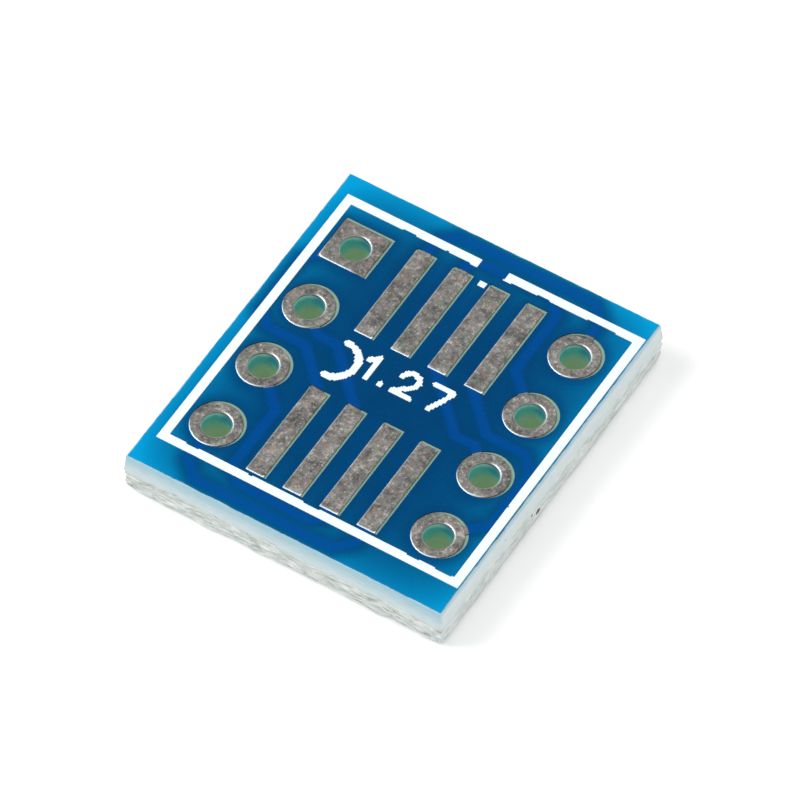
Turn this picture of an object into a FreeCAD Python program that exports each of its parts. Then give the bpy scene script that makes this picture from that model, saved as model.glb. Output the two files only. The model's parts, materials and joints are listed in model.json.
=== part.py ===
import FreeCAD, Part
import math
import os
import Sketcher

# A small two-sided adapter board. A chip with eight leads 1.27 mm apart is soldered on its top face, or
# one with finer leads on its underside. Eight header pins in the two rows of holes bring the leads out.
#
# The board lies flat. The origin is the middle of its outline at its lowest point, X runs across the two
# rows of holes, Y along them towards pin 1, and Z up. Pins 1 to 4 run down the left row and 5 to 8 up the
# right row. Every conductor from 5 to 8 is one from 1 to 4 turned half a turn about the middle.
# Lengths are in millimetres and angles in degrees.
SIZES = {
    # The glass and epoxy laminate. Its top face reaches this far beyond the middles of each row of holes,
    # and beyond the ends of the footprint.
    "side_margin": 1.59,
    "end_margin": 1.435,
    "laminate_thickness": 1.47,
    # The edges are scored from both faces, and the web between the two scores is snapped.
    "top_score_depth": 0.8,
    "top_score_angle": 5,
    "bottom_score_depth": 0.35,
    "bottom_score_angle": 3,
    # The drilled holes with their copper and tin lining, and their middle seen from the outline's.
    "hole_pitch": 2.54,
    "row_spacing": 7.62,
    "drill_diameter": 1.0,
    "barrel_lining": 0.04,
    "grid_offset_x": 0.06,
    "grid_offset_y": -0.02,
    # The copper, etched a little off the middle of the holes. Pin 1 has a square pad of the rings' size.
    "copper_thickness": 0.035,
    "copper_offset_x": -0.02,
    "copper_offset_y": 0.01,
    "ring_diameter": 1.6,
    "trace_width": 0.3,
    "pad_pitch": 1.27,
    "pad_width": 0.6,
    "pad_length": 3.5,
    "pad_row_spacing": 5.93,
    # The lanes of the top traces: one outside a row of holes, one inside it, one above the middle of the
    # copper, and two beyond the ends of the footprint.
    "side_lane": 1.14,
    "inner_lane": 1.21,
    "second_lane": 0.5,
    "third_lane": 0.585,
    "fourth_lane": 1.085,
    "lane_corner": 0.5,
    # The finer footprint on the underside, and the lanes of its traces: one beyond the middle of the
    # copper, and one inside a row of holes.
    "fine_pitch": 0.65,
    "fine_pad_width": 0.38,
    "fine_pad_length": 1.7,
    "fine_row_spacing": 5.2,
    "fine_trace_width": 0.25,
    "third_fine_lane": 0.6,
    "fourth_fine_lane": 2.01,
    # The tin on the bare copper.
    "tin_thickness": 0.03,
    # The solder mask, printed a little off the middle of the holes.
    "mask_thickness": 0.05,
    "mask_clearance": 0.05,
    "mask_setback": 0.035,
    "mask_offset_x": 0.02,
    "mask_offset_y": 0.05,
    # The white legend, further off the middle of the holes. Its sizes are those of its lines' middles. Its
    # frame runs outside the rows of holes and beyond the ends of the footprint.
    "ink_thickness": 0.015,
    "ink_line": 0.28,
    "legend_offset_x": 0.1,
    "legend_offset_y": 0.165,
    "frame_side_margin": 1.215,
    "frame_end_margin": 0.42,
    "notch_radius": 0.61,
    "ink_keep_out": 0.16,
    "crescent_line": 0.25,
    "crescent_radius": 0.66,
    "crescent_x": -2.21,
    "crescent_y": -0.1,
}

PINS_IN_ROW = 4
NETS = range(1, 2 * PINS_IN_ROW + 1)

Vector = FreeCAD.Vector
UP = Vector(0, 0, 1)

doc = FreeCAD.newDocument("adapter_board")
sheet = doc.addObject("Spreadsheet::Sheet", "Sizes")
for row, (size, number) in enumerate(SIZES.items(), start=1):
    sheet.set(f"A{row}", size)
    sheet.set(f"B{row}", str(number))
    sheet.setAlias(f"B{row}", size)
doc.recompute()

# Heights, from the tin's underside up.
COPPER_BOTTOM = "Sizes.tin_thickness"
LAMINATE_BOTTOM = f"({COPPER_BOTTOM} + Sizes.copper_thickness)"
LAMINATE_TOP = f"({LAMINATE_BOTTOM} + Sizes.laminate_thickness)"
COPPER_TOP = f"({LAMINATE_TOP} + Sizes.copper_thickness)"
TIN_TOP = f"({COPPER_TOP} + Sizes.tin_thickness)"
MASK_TOP = f"({LAMINATE_TOP} + Sizes.mask_thickness)"
MASK_BOTTOM = f"({LAMINATE_BOTTOM} - Sizes.mask_thickness)"

# The middle of the holes and of each printed or etched layer.
HOLES = ("Sizes.grid_offset_x", "Sizes.grid_offset_y")
COPPER = (f"({HOLES[0]} + Sizes.copper_offset_x)", f"({HOLES[1]} + Sizes.copper_offset_y)")
MASK = (f"({HOLES[0]} + Sizes.mask_offset_x)", f"({HOLES[1]} + Sizes.mask_offset_y)")
LEGEND = (f"({HOLES[0]} + Sizes.legend_offset_x)", f"({HOLES[1]} + Sizes.legend_offset_y)")

# The plan sizes of a top pad and of an underside one.
PAD = ("Sizes.pad_width", "Sizes.pad_length")
FINE_PAD = ("Sizes.fine_pad_width", "Sizes.fine_pad_length")

# How far a row of holes lies from the middle, where the pads and the last lands end, and what reaches
# further of the two, which is the end of the footprint.
HALF_ROW = "(Sizes.row_spacing / 2)"
PAD_END = "((Sizes.pad_row_spacing + Sizes.pad_length) / 2)"
LAND_END = f"({(PINS_IN_ROW - 1) / 2} * Sizes.hole_pitch + Sizes.ring_diameter / 2)"
FOOTPRINT_END = f"max({PAD_END}; {LAND_END})"

# How far the snapped web stands out beyond the laminate's top, and how far the underside draws in from it.
WEB_REACH = "Sizes.top_score_depth * tan(Sizes.top_score_angle * 1deg)"
UNDERCUT = "Sizes.bottom_score_depth * tan(Sizes.bottom_score_angle * 1deg)"

# The plan sizes of the laminate's top, web and underside, and the size of a finished hole.
TOP_FACE = (f"(2 * ({HALF_ROW} + Sizes.side_margin))", f"(2 * ({FOOTPRINT_END} + Sizes.end_margin))")
WEB = tuple(f"({side} + 2 * {WEB_REACH})" for side in TOP_FACE)
UNDERSIDE = tuple(f"({side} - 2 * {UNDERCUT})" for side in WEB)
FINISHED_HOLE = "(Sizes.drill_diameter - 2 * Sizes.barrel_lining)"

parts = []


def value(expression):
    """What an expression on the sheet's cells comes to now."""
    result = sheet.evalExpression(expression)
    return float(getattr(result, "Value", result))


def keep(shape_object, name):
    """Count an object as one of the board's pieces, under the piece's own name."""
    shape_object.Label = name
    parts.append(shape_object)
    return shape_object


def half_turn(net):
    """1 for the conductors 1 to 4, and -1 for those turned half a turn about the middle."""
    return 1 if net <= PINS_IN_ROW else -1


def steps_down(net):
    """How many pitches a conductor's pin lies below pin 1, before any turn."""
    return (net - 1) % PINS_IN_ROW


def turned(net, centre, x, y):
    """A point given from a layer's middle, turned with its conductor and moved to the board's frame."""
    turn = half_turn(net)
    return f"{centre[0]} + {turn} * ({x})", f"{centre[1]} + {turn} * ({y})"


def pin_spot(net):
    """A pin's place in the left row, from the middle of the holes."""
    return f"-{HALF_ROW}", f"({(PINS_IN_ROW - 1) / 2 - steps_down(net)} * Sizes.hole_pitch)"


def pad_spot(net):
    """The middle of a top pad in the front row, from the middle of the copper."""
    return f"({steps_down(net) - (PINS_IN_ROW - 1) / 2} * Sizes.pad_pitch)", "-Sizes.pad_row_spacing / 2"


def fine_pad_spot(net):
    """The middle of an underside pad in the back row, from the middle of the copper."""
    return f"({steps_down(net) - (PINS_IN_ROW - 1) / 2} * Sizes.fine_pitch)", "Sizes.fine_row_spacing / 2"


def place(shape_object, x, y, z):
    """Tie an object's place to the sheet."""
    for axis, expression in zip("xyz", (x, y, z)):
        shape_object.setExpression(f"Placement.Base.{axis}", expression)


def block(name, x, y, z, width, length, height):
    """An upright block whose plan is centred on x and y."""
    solid = doc.addObject("Part::Box", name)
    for side, expression in (("Length", width), ("Width", length), ("Height", height)):
        solid.setExpression(side, expression)
    place(solid, f"{x} - ({width}) / 2", f"{y} - ({length}) / 2", z)
    return solid


def disc(name, x, y, z, diameter, height):
    """An upright cylinder."""
    solid = doc.addObject("Part::Cylinder", name)
    solid.setExpression("Radius", f"({diameter}) / 2")
    solid.setExpression("Height", height)
    place(solid, x, y, z)
    return solid


def joined(name, solids):
    """Several solids as one."""
    fuse = doc.addObject("Part::MultiFuse", name)
    fuse.Shapes = solids
    fuse.Refine = True
    return fuse


def cut(name, base, tool):
    """A solid without what another one takes from it."""
    difference = doc.addObject("Part::Cut", name)
    difference.Base = base
    difference.Tool = tool
    return difference


def shared(name, base, tool):
    """What two solids have in common."""
    common = doc.addObject("Part::Common", name)
    common.Base = base
    common.Tool = tool
    return common


def tie(sketch, kind, *ends, size):
    """A dimension in a sketch that follows the sheet."""
    number = sketch.addConstraint(Sketcher.Constraint(kind, *ends, value(size)))
    sketch.setExpression(f"Constraints[{number}]", size)


def tie_point(sketch, geometry, point, x, y):
    """Tie a point of a sketch to its two distances from the sketch's origin."""
    tie(sketch, "DistanceX", -1, 1, geometry, point, size=x)
    tie(sketch, "DistanceY", -1, 1, geometry, point, size=y)


def free_sketch(name, centre, z):
    """A level sketch whose origin is a layer's middle."""
    sketch = doc.addObject("Sketcher::SketchObject", name)
    place(sketch, centre[0], centre[1], z)
    return sketch


def polyline(name, centre, z, points):
    """An open line through points given from a layer's middle."""
    sketch = free_sketch(name, centre, z)
    corners = [Vector(value(x), value(y), 0) for x, y in points]
    for start, end in zip(corners, corners[1:]):
        sketch.addGeometry(Part.LineSegment(start, end), False)
    tie_point(sketch, 0, 1, *points[0])
    for line, point in enumerate(points[1:]):
        if line:
            sketch.addConstraint(Sketcher.Constraint("Coincident", line - 1, 2, line, 1))
        tie_point(sketch, line, 2, *point)
    return sketch


def half_circle(name, centre, z, x, y, radius, upright):
    """An open half circle. It hangs below its ends, or upright it bows to the right of them."""
    sketch = free_sketch(name, centre, z)
    middle = Vector(value(x), value(y), 0)
    first = -math.pi / 2 if upright else -math.pi
    circle = Part.Circle(middle, UP, value(radius))
    sketch.addGeometry(Part.ArcOfCircle(circle, first, first + math.pi), False)
    tie_point(sketch, 0, 3, x, y)
    tie(sketch, "Radius", 0, size=radius)
    for end in (1, 2):
        sketch.addConstraint(Sketcher.Constraint("Vertical" if upright else "Horizontal", 0, end, 0, 3))
    return sketch


def drawn_line(name, path, width, height):
    """A path drawn with a round tool of the given width, as a solid of the given height."""
    outline = doc.addObject("Part::Offset2D", f"{name}_outline")
    outline.Source = path
    outline.setExpression("Value", f"({width}) / 2")
    outline.Join = "Arc"
    outline.Fill = True
    solid = doc.addObject("Part::Extrusion", name)
    solid.Base = outline
    solid.DirMode = "Custom"
    solid.Dir = UP
    solid.Solid = True
    solid.setExpression("LengthFwd", height)
    return solid


def origin_part(body, role):
    return [feature for feature in body.Origin.OriginFeatures if feature.Role == role][0]


def level_sketch(body, name, z):
    """A sketch of a body, level with the board's faces."""
    sketch = body.newObject("Sketcher::SketchObject", name)
    sketch.AttachmentSupport = [(origin_part(body, "XY_Plane"), "")]
    sketch.MapMode = "FlatFace"
    sketch.setExpression("AttachmentOffset.Base.z", z)
    return sketch


def rectangle_sketch(body, name, z, x, y, width, length):
    """A rectangle centred on x and y."""
    sketch = level_sketch(body, name, z)
    left, front = f"{x} - ({width}) / 2", f"{y} - ({length}) / 2"
    right, back = f"{x} + ({width}) / 2", f"{y} + ({length}) / 2"
    around = ((left, front), (right, front), (right, back), (left, back))
    corners = [Vector(value(across), value(along), 0) for across, along in around]
    for side in range(4):
        sketch.addGeometry(Part.LineSegment(corners[side], corners[(side + 1) % 4]), False)
    for side in range(4):
        sketch.addConstraint(Sketcher.Constraint("Coincident", side, 2, (side + 1) % 4, 1))
        sketch.addConstraint(Sketcher.Constraint("Vertical" if side % 2 else "Horizontal", side))
    tie_point(sketch, 0, 1, left, front)
    tie(sketch, "DistanceX", 0, 1, 0, 2, size=width)
    tie(sketch, "DistanceY", 1, 1, 1, 2, size=length)
    return sketch


def circle_sketch(body, name, z, x, y, diameter):
    sketch = level_sketch(body, name, z)
    sketch.addGeometry(Part.Circle(Vector(value(x), value(y), 0), UP, value(diameter) / 2), False)
    tie_point(sketch, 0, 3, x, y)
    tie(sketch, "Diameter", 0, size=diameter)
    return sketch


def pad(body, name, profile, length, lean=None, down=False):
    """Raise a profile, or lower it, with walls that lean in by the given angle."""
    feature = body.newObject("PartDesign::Pad", name)
    feature.Profile = profile
    feature.Reversed = down
    feature.setExpression("Length", length)
    if lean:
        feature.setExpression("TaperAngle", f"-{lean} * 1deg")
    return feature


def through_pocket(body, name, profile):
    """A pocket up through the whole body from a profile at or below its underside."""
    pocket = body.newObject("PartDesign::Pocket", name)
    pocket.Profile = profile
    pocket.Type = "ThroughAll"
    pocket.Reversed = True
    return pocket


def make_laminate():
    """The board: a web as wide as the snapped edge, leaning in to each face, and drilled."""
    body = doc.addObject("PartDesign::Body", "laminate")
    web_bottom = f"{LAMINATE_BOTTOM} + Sizes.bottom_score_depth"
    web_thickness = "Sizes.laminate_thickness - Sizes.top_score_depth - Sizes.bottom_score_depth"
    web_profile = rectangle_sketch(body, "web_profile", web_bottom, "0", "0", *WEB)
    pad(body, "snapped_web", web_profile, web_thickness)
    lower_lean = "Sizes.bottom_score_angle"
    pad(body, "lower_score", web_profile, "Sizes.bottom_score_depth", lean=lower_lean, down=True)
    web_top = f"{LAMINATE_TOP} - Sizes.top_score_depth"
    upper_profile = rectangle_sketch(body, "upper_profile", web_top, "0", "0", *WEB)
    pad(body, "upper_score", upper_profile, "Sizes.top_score_depth", lean="Sizes.top_score_angle")
    drill_x, drill_y = turned(1, HOLES, *pin_spot(1))
    drill_profile = circle_sketch(body, "drill_profile", "0", drill_x, drill_y, "Sizes.drill_diameter")
    drilled = through_pocket(body, "drilled_hole", drill_profile)
    grid = body.newObject("PartDesign::LinearPattern", "hole_grid")
    grid.Originals = [drilled]
    grid.Direction = (origin_part(body, "X_Axis"), [""])
    grid.setExpression("Length", "Sizes.row_spacing")
    grid.Occurrences = 2
    grid.Direction2 = (origin_part(body, "Y_Axis"), [""])
    grid.Reversed2 = True
    grid.setExpression("Length2", f"{PINS_IN_ROW - 1} * Sizes.hole_pitch")
    grid.Occurrences2 = PINS_IN_ROW
    body.Tip = grid
    return keep(body, "laminate")


def top_path(net):
    """The corners of a top trace, from its pad to its pin, as conductors 1 to 4 run."""
    pin_x, pin_y = pin_spot(net)
    pad_x = pad_spot(net)[0]
    inner_end = "((Sizes.pad_row_spacing - Sizes.pad_length) / 2)"
    corner = "Sizes.lane_corner"
    if net == 1:
        lane = f"({pin_x} - Sizes.side_lane)"
        return [
            (pad_x, f"-{inner_end}"),
            (f"{pad_x} - {inner_end}", "0"),
            (f"{lane} + {corner}", "0"),
            (lane, corner),
            (lane, f"{pin_y} - Sizes.side_lane"),
            (pin_x, pin_y),
        ]
    if net == 2:
        lane = "Sizes.second_lane"
        return [
            (pad_x, f"-{inner_end}"),
            (f"{pad_x} - {inner_end} - {lane}", lane),
            (f"{pin_x} + {pin_y} - {lane}", lane),
            (pin_x, pin_y),
        ]
    if net == 3:
        lane = f"(-{FOOTPRINT_END} - Sizes.third_lane)"
        turn = f"({pin_x} + Sizes.inner_lane)"
        return [
            (pad_x, f"-{PAD_END}"),
            (pad_x, f"{lane} + {corner} / 2"),
            (f"{pad_x} - {corner} / 2", lane),
            (f"{turn} + {corner}", lane),
            (turn, f"{lane} + {corner}"),
            (turn, f"{pin_y} - Sizes.inner_lane"),
            (pin_x, pin_y),
        ]
    lane = f"(-{FOOTPRINT_END} - Sizes.fourth_lane)"
    return [
        (pad_x, f"-{PAD_END}"),
        (pad_x, f"{lane} + {corner}"),
        (f"{pad_x} - {corner}", lane),
        (f"{pin_x} + {corner}", lane),
        (pin_x, f"{lane} + {corner}"),
        (pin_x, pin_y),
    ]


def bottom_path(net):
    """The corners of an underside trace, from its fine pad to its pin, as conductors 1 to 4 run."""
    pin_x, pin_y = pin_spot(net)
    pad_x = fine_pad_spot(net)[0]
    inner_end = "((Sizes.fine_row_spacing - Sizes.fine_pad_length) / 2)"
    outer_end = "((Sizes.fine_row_spacing + Sizes.fine_pad_length) / 2)"
    if net == 1:
        return [(pad_x, outer_end), (f"{pad_x} - {pin_y} + {outer_end}", pin_y), (pin_x, pin_y)]
    if net == 2:
        return [(pad_x, inner_end), (f"{pad_x} - {inner_end} + {pin_y}", pin_y), (pin_x, pin_y)]
    if net == 3:
        lane = "Sizes.third_fine_lane"
        return [
            (pad_x, inner_end),
            (f"{pad_x} - {inner_end} + {lane}", lane),
            (f"{pin_x} - {pin_y} + {lane}", lane),
            (pin_x, pin_y),
        ]
    lane = f"({pin_x} + Sizes.fourth_fine_lane)"
    return [
        (pad_x, inner_end),
        (lane, f"{inner_end} - {pad_x} + {lane}"),
        (lane, f"{pin_y} + Sizes.fourth_fine_lane"),
        (pin_x, pin_y),
    ]


def turned_path(net, path):
    """A path turned with its conductor."""
    turn = half_turn(net)
    return [(f"{turn} * ({x})", f"{turn} * ({y})") for x, y in path]


def land(name, net, centre, z, size, height):
    """What lies round a hole: a square at pin 1, and a disc at the others."""
    x, y = turned(net, centre, *pin_spot(net))
    if net == 1:
        return block(name, x, y, z, size, size, height)
    return disc(name, x, y, z, size, height)


def make_conductor(net, top_trace, bottom_trace):
    """One net's metal in one piece: pads, traces, both tinned lands and the lined hole between them."""
    copper = "Sizes.copper_thickness"
    tinned = "(Sizes.copper_thickness + Sizes.tin_thickness)"
    land_size = "Sizes.ring_diameter"
    pad_x, pad_y = turned(net, COPPER, *pad_spot(net))
    fine_x, fine_y = turned(net, COPPER, *fine_pad_spot(net))
    hole_x, hole_y = turned(net, HOLES, *pin_spot(net))
    metal = [
        block(f"pad_{net}", pad_x, pad_y, LAMINATE_TOP, *PAD, copper),
        block(f"fine_pad_{net}", fine_x, fine_y, COPPER_BOTTOM, *FINE_PAD, copper),
        drawn_line(f"top_trace_{net}", top_trace, "Sizes.trace_width", copper),
        drawn_line(f"bottom_trace_{net}", bottom_trace, "Sizes.fine_trace_width", copper),
        land(f"top_land_{net}", net, COPPER, LAMINATE_TOP, land_size, tinned),
        land(f"bottom_land_{net}", net, COPPER, "0", land_size, tinned),
        disc(f"barrel_{net}", hole_x, hole_y, "0", "Sizes.drill_diameter", TIN_TOP),
    ]
    bore = disc(f"bore_{net}", hole_x, hole_y, "0", FINISHED_HOLE, TIN_TOP)
    return keep(cut(f"conductor_{net}", joined(f"metal_{net}", metal), bore), f"conductor_{net}")


def make_pad_tin(net, name, spot, z, size):
    """The tin on one pad."""
    return keep(block(name, *turned(net, COPPER, *spot), z, *size, "Sizes.tin_thickness"), name)


def make_mask(name, metal, face, z, spot_of, size):
    """One face's solder mask: a film over the traces, open over the pads and the lands."""
    width, length = (f"{side} - 2 * Sizes.mask_setback" for side in face)
    film = block(f"{name}_film", "0", "0", z, width, length, "Sizes.mask_thickness")
    deep = "Sizes.mask_thickness"
    clearance = "2 * Sizes.mask_clearance"
    opening_wide, opening_long = (f"{side} + {clearance}" for side in size)
    land_opening = f"Sizes.ring_diameter + {clearance}"
    openings = []
    for net in NETS:
        x, y = turned(net, MASK, *spot_of(net))
        openings.append(block(f"{name}_opening_{net}", x, y, z, opening_wide, opening_long, deep))
        openings.append(land(f"{name}_land_{net}", net, MASK, z, land_opening, deep))
    keep(cut(name, film, joined(f"{name}_tool", openings + metal)), name)


def make_frame_ink():
    """The frame round the footprint, with a half-round notch that is kept clear of the two middle pads."""
    right, back = f"({HALF_ROW} + Sizes.frame_side_margin)", f"({FOOTPRINT_END} + Sizes.frame_end_margin)"
    left, front = f"-{right}", f"-{back}"
    notch = "Sizes.notch_radius"
    outer_corners = [(left, back), (left, front), (right, front), (right, back)]
    corners = [(f"-{notch}", back), *outer_corners, (notch, back)]
    ink, line = "Sizes.ink_thickness", "Sizes.ink_line"
    frame = drawn_line("frame_line", polyline("frame_path", LEGEND, MASK_TOP, corners), line, ink)
    arc_path = half_circle("notch_path", LEGEND, MASK_TOP, "0", back, notch, upright=False)
    arc = drawn_line("notch_line", arc_path, line, ink)
    kept_out = "2 * (Sizes.mask_clearance + Sizes.ink_keep_out)"
    wide, long = (f"{side} + {kept_out}" for side in PAD)
    pads_y = f"{LEGEND[1]} + Sizes.pad_row_spacing / 2"
    left_x = f"{LEGEND[0]} - Sizes.pad_pitch / 2"
    right_x = f"{LEGEND[0]} + Sizes.pad_pitch / 2"
    keep_outs = [
        block("keep_out_left", left_x, pads_y, MASK_TOP, wide, long, ink),
        block("keep_out_right", right_x, pads_y, MASK_TOP, wide, long, ink),
    ]
    between = block("between_pads", LEGEND[0], pads_y, MASK_TOP, "Sizes.pad_pitch", long, ink)
    whole = joined("frame_and_notch", [frame, arc])
    pads_region = joined("pads_region", keep_outs + [between])
    keep(cut("frame_outside_pads", whole, pads_region), "legend_frame")
    clear_arc = cut("notch_clear_of_pads", arc, joined("keep_outs", keep_outs))
    keep(shared("notch_between_pads", clear_arc, between), "legend_notch_dot")


def make_crescent_ink():
    """The half-round mark at the pin 1 end of the top footprint."""
    spot = ("Sizes.crescent_x", "Sizes.crescent_y")
    path = half_circle("crescent_path", LEGEND, MASK_TOP, *spot, "Sizes.crescent_radius", upright=True)
    keep(drawn_line("crescent_line", path, "Sizes.crescent_line", "Sizes.ink_thickness"), "legend_crescent")


def make_board():
    """Every piece, from the laminate out to the legend."""
    make_laminate()
    conductors, top_tins, bottom_tins = [], [], []
    for net in NETS:
        first = steps_down(net) + 1
        top_corners = turned_path(net, top_path(first))
        bottom_corners = turned_path(net, bottom_path(first))
        top_trace = polyline(f"top_path_{net}", COPPER, LAMINATE_TOP, top_corners)
        bottom_trace = polyline(f"bottom_path_{net}", COPPER, COPPER_BOTTOM, bottom_corners)
        conductors.append(make_conductor(net, top_trace, bottom_trace))
        top_tins.append(make_pad_tin(net, f"pad_tin_{net}", pad_spot(net), COPPER_TOP, PAD))
        bottom_tins.append(make_pad_tin(net, f"fine_pad_tin_{net}", fine_pad_spot(net), "0", FINE_PAD))
    make_mask("top_solder_mask", conductors + top_tins, TOP_FACE, LAMINATE_TOP, pad_spot, PAD)
    make_mask("bottom_solder_mask", conductors + bottom_tins, UNDERSIDE, MASK_BOTTOM, fine_pad_spot, FINE_PAD)
    make_frame_ink()
    make_crescent_ink()


def check_and_write():
    """Stop on anything that failed to build, then write each piece to its own file."""
    doc.recompute()
    failed = [item.Name for item in doc.Objects if {"Invalid", "Error"} & set(item.State)]
    if failed:
        raise RuntimeError(f"these objects failed to build: {failed}")
    for piece in parts:
        shape = piece.Shape
        if shape.isNull() or not shape.isValid() or len(shape.Solids) != 1:
            raise RuntimeError(f"{piece.Label} isn't one valid solid")
    os.makedirs("parts", exist_ok=True)
    for piece in parts:
        piece.Shape.exportStep(os.path.join("parts", f"{piece.Label}.step"))
        print(f"{piece.Label}: {piece.Shape.Volume:.5f} mm3")


make_board()
check_and_write()
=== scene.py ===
import json
import math

import bmesh
import bpy
from mathutils import Matrix, Vector, noise


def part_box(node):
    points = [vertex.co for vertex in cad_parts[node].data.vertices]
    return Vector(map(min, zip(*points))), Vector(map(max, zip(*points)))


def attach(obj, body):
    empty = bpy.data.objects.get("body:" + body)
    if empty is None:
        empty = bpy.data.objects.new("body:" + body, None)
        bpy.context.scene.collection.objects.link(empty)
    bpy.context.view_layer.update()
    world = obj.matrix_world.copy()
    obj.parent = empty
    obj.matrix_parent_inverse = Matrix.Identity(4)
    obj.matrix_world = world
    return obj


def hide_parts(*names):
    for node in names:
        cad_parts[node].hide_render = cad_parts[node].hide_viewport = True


# The small adapter board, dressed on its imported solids. Forms are worked in millimetres, in the board's
# own frame, and scaled to metres when a piece is finished.
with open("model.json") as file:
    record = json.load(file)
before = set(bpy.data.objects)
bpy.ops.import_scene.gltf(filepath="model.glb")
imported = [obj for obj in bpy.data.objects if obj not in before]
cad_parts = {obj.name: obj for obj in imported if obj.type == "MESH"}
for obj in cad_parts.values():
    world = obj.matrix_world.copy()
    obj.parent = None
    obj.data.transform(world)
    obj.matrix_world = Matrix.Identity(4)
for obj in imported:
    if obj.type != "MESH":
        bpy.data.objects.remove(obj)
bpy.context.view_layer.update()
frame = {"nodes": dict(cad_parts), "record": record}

MILLIMETRE = 0.001
X, Y = 0, 1
NETS = range(1, 9)


def drawn(point):
    """A point of the frame in millimetres, rounded to the micrometre that it was drawn with."""
    return [round(value / MILLIMETRE, 3) for value in point]


def corners(node):
    """The lowest and the highest corner of a node."""
    return [drawn(corner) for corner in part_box(node)]


def apart(start, end, axis):
    """How far one point lies beyond another along an axis."""
    return round(end[axis] - start[axis], 3)


def halfway(first, second):
    """The middle of two points in plan."""
    return Vector((round((first[X] + second[X]) / 2, 3), round((first[Y] + second[Y]) / 2, 3), 0))


def half_apart(start, end, axis, less):
    """Half of what is left between two points along an axis, less a length."""
    return round((end[axis] - start[axis] - less) / 2, 3)


# What is measured on the frame: the first net's pads and hole, the next net's, and the fifth net's, which are
# the first's turned half a turn.
laminate_low, laminate_high = corners("laminate")
pad_low, pad_high = corners("pad_tin_1")
next_pad_low, _ = corners("pad_tin_2")
_, far_pad_high = corners("pad_tin_5")
fine_low, fine_high = corners("fine_pad_tin_1")
next_fine_low, _ = corners("fine_pad_tin_2")
far_fine_low, _ = corners("fine_pad_tin_5")
bores = [mount for mount in frame["record"]["mounts"] if mount["kind"] == "bore"]
first_hole, next_hole, far_hole = (drawn(bores[net - 1]["pos_m"]) for net in (1, 2, 5))

# Heights of the faces that the layers share.
LAMINATE_BOTTOM, LAMINATE_TOP = laminate_low[2], laminate_high[2]
COPPER_BOTTOM, COPPER_TOP = fine_high[2], pad_low[2]
TIN_TOP = pad_high[2]

# The board is scored from both faces and snapped. How deep the scores go, and the web between them.
TOP_SCORE, BOTTOM_SCORE = 0.8, 0.35
WEB_TOP = round(LAMINATE_TOP - TOP_SCORE, 3)
WEB_BOTTOM = round(LAMINATE_BOTTOM + BOTTOM_SCORE, 3)
WEB = round(WEB_TOP - WEB_BOTTOM, 3)

# How far the snapped web and the underside stand out beyond the laminate's top outline, and that outline.
WEB_REACH = 0.07
UNDERSIDE_LEAN = math.radians(3)
UNDERSIDE_REACH = WEB_REACH - BOTTOM_SCORE * math.tan(UNDERSIDE_LEAN)
HALF_WIDTH, HALF_LENGTH = (round(laminate_high[axis] - WEB_REACH, 3) for axis in (X, Y))

# The middles of the layers, each printed or drilled a little off the outline's.
HOLES = halfway(first_hole, far_hole)
COPPER = halfway(pad_low, far_pad_high)
MASK = Vector((0.08, 0.03, 0))
LEGEND = halfway(*corners("legend_frame"))

# Plan sizes. A row is given by how far it lies from its layer's middle.
ROW, PITCH = half_apart(first_hole, far_hole, X, 0), apart(next_hole, first_hole, Y)
PAD_WIDTH, PAD_LENGTH = apart(pad_low, pad_high, X), apart(pad_low, pad_high, Y)
PAD_PITCH, PAD_ROW = apart(pad_low, next_pad_low, X), half_apart(pad_low, far_pad_high, Y, PAD_LENGTH)
FINE_WIDTH, FINE_LENGTH = apart(fine_low, fine_high, X), apart(fine_low, fine_high, Y)
FINE_PITCH, FINE_ROW = apart(fine_low, next_fine_low, X), half_apart(far_fine_low, fine_high, Y, FINE_LENGTH)
BORE_RADIUS = bores[0]["dims"]["r_mm"]
DRILL_RADIUS, LAND_RADIUS = 0.5, 0.8
TOP_HALF_LINE, BOTTOM_HALF_LINE = 0.15, 0.125

# The masks: the gap round a pad or land, the film, and how far it ends inside each face's outline.
MASK_GAP, MASK_FILM = 0.05, 0.041
TOP_SETBACK, BOTTOM_SETBACK = 0.035, 0.2

# The legend's frame and its notch to the middle of their line, half that line, the room kept round a pad, and
# where the dot that is left of the notch ends.
FRAME_HALF_WIDTH, FRAME_HALF_LENGTH, NOTCH_RADIUS = 5.025, 5.135, 0.61
INK_HALF_LINE, INK_ROOM = 0.14, 0.21
NOTCH_DOT_END = 4.6

# Dark specks on the right side, and how large each is.
SIDE_SPECKS = (
    ((5.46, -0.855, 0.443), 0.12),
    ((5.46, -1.19, 0.64), 0.055),
    ((5.42, -2.64, 1.11), 0.035),
    ((5.45, 2.02, 0.17), 0.045),
)

# Corners of the first four traces on each face, from the copper's middle. The other four are these turned.
TOP_TRACES = (
    ((-1.905, -1.215), (-3.12, 0), (-4.45, 0), (-4.95, 0.5), (-4.95, 2.67), (-3.81, 3.81)),
    ((-0.635, -1.215), (-2.35, 0.5), (-3.04, 0.5), (-3.81, 1.27)),
    (
        (0.635, -4.715), (0.635, -5.05), (0.385, -5.3), (-2.1, -5.3), (-2.6, -4.8), (-2.6, -2.48),
        (-3.81, -1.27),
    ),
    ((1.905, -4.715), (1.905, -5.3), (1.405, -5.8), (-3.31, -5.8), (-3.81, -5.3), (-3.81, -3.81)),
)
BOTTOM_TRACES = (
    ((-0.975, 3.45), (-1.335, 3.81), (-3.81, 3.81)),
    ((-0.325, 1.75), (-0.805, 1.27), (-3.81, 1.27)),
    ((0.325, 1.75), (-0.825, 0.6), (-1.94, 0.6), (-3.81, -1.27)),
    ((0.975, 1.75), (-1.8, -1.025), (-1.8, -1.8), (-3.81, -3.81)),
)


# Finishes


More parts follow.
